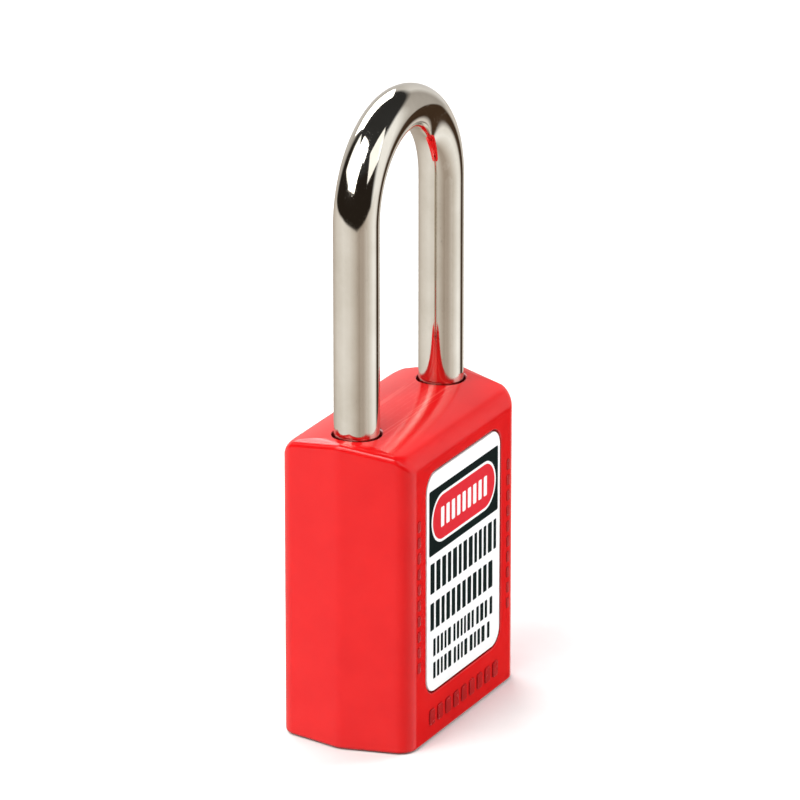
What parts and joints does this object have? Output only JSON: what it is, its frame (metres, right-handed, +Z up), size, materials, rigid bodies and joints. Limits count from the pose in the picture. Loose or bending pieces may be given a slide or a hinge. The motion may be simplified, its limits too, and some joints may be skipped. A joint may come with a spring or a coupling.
{
  "type": "safety padlock",
  "caption": "Lockout padlock with a red moulded body, a labelled face and a tall round steel shackle that a key cylinder releases.",
  "frame": {"origin": "bottom centre of the lock's bounding box, which is the centre of the body's flat underside", "axes": "+Z up along the shackle's legs, -Y out of the face with the printed label, X across the wide face with the heel leg at +X"},
  "size_m": [0.0378, 0.0202, 0.0902],
  "materials": {
    "red_plastic": "moulded, satin gloss",
    "black_plastic": "moulded, matte",
    "label_print": "white printed film, satin",
    "nickel": "bright nickel plating, drawn bar",
    "zinc": "bare zinc casting",
    "brass_dark": "machined, dull",
    "brass_bright": "machined, bright",
    "hard_steel": "ground steel",
    "spring_steel": "drawn spring wire",
    "black_steel": "blackened steel"
  },
  "bodies": {
    "housing": {"body_shell": "red_plastic", "bottom_cap": "black_plastic", "front_label": "label_print", "back_label": "label_print", "lock_case": "zinc", "cylinder_housing": "brass_dark", "chamber_strip": "brass_dark", "heel_sleeve": "zinc", "shackle_spring": "spring_steel", "stop_pin": "hard_steel", "retaining_screw": "black_steel", "driver_pin_1": "hard_steel", "pin_spring_1": "spring_steel", "driver_pin_2": "hard_steel", "pin_spring_2": "spring_steel", "driver_pin_3": "hard_steel", "pin_spring_3": "spring_steel", "driver_pin_4": "hard_steel", "pin_spring_4": "spring_steel", "driver_pin_5": "hard_steel", "pin_spring_5": "spring_steel", "driver_pin_6": "hard_steel", "pin_spring_6": "spring_steel"},
    "plug_body": {"plug": "brass_bright", "plug_clip": "spring_steel", "cam": "hard_steel", "key_pin_1": "brass_bright", "key_pin_2": "brass_bright", "key_pin_3": "brass_bright", "key_pin_4": "brass_bright", "key_pin_5": "brass_bright", "key_pin_6": "brass_bright"},
    "toe_ball": {"ball_toe": "hard_steel"},
    "heel_ball": {"ball_heel": "hard_steel"},
    "shackle_body": {"shackle": "nickel"}
  },
  "joints": [
    {"name": "shackle_lift", "type": "slide", "parent": "housing", "child": "shackle_body", "axis": [0, 0, 1], "range_m": [0, 0.013], "deforming": ["shackle_spring"]},
    {"name": "plug_turn", "type": "hinge", "parent": "housing", "child": "plug_body", "pos_m": [0, 0, 0], "axis": [0, 0, 1], "range_deg": [0, 90]},
    {"name": "toe_ball_slide", "type": "slide", "parent": "housing", "child": "toe_ball", "axis": [1, 0, 0], "range_m": [0, 0.004]},
    {"name": "heel_ball_slide", "type": "slide", "parent": "housing", "child": "heel_ball", "axis": [-1, 0, 0], "range_m": [0, 0.004]}
  ],
  "couplings": [
    {"joint": "plug_turn", "follows": "shackle_lift", "rad_per_m": 120.83},
    {"joint": "toe_ball_slide", "follows": "shackle_lift", "ratio": 0.3076},
    {"joint": "heel_ball_slide", "follows": "shackle_lift", "ratio": 0.3076}
  ]
}
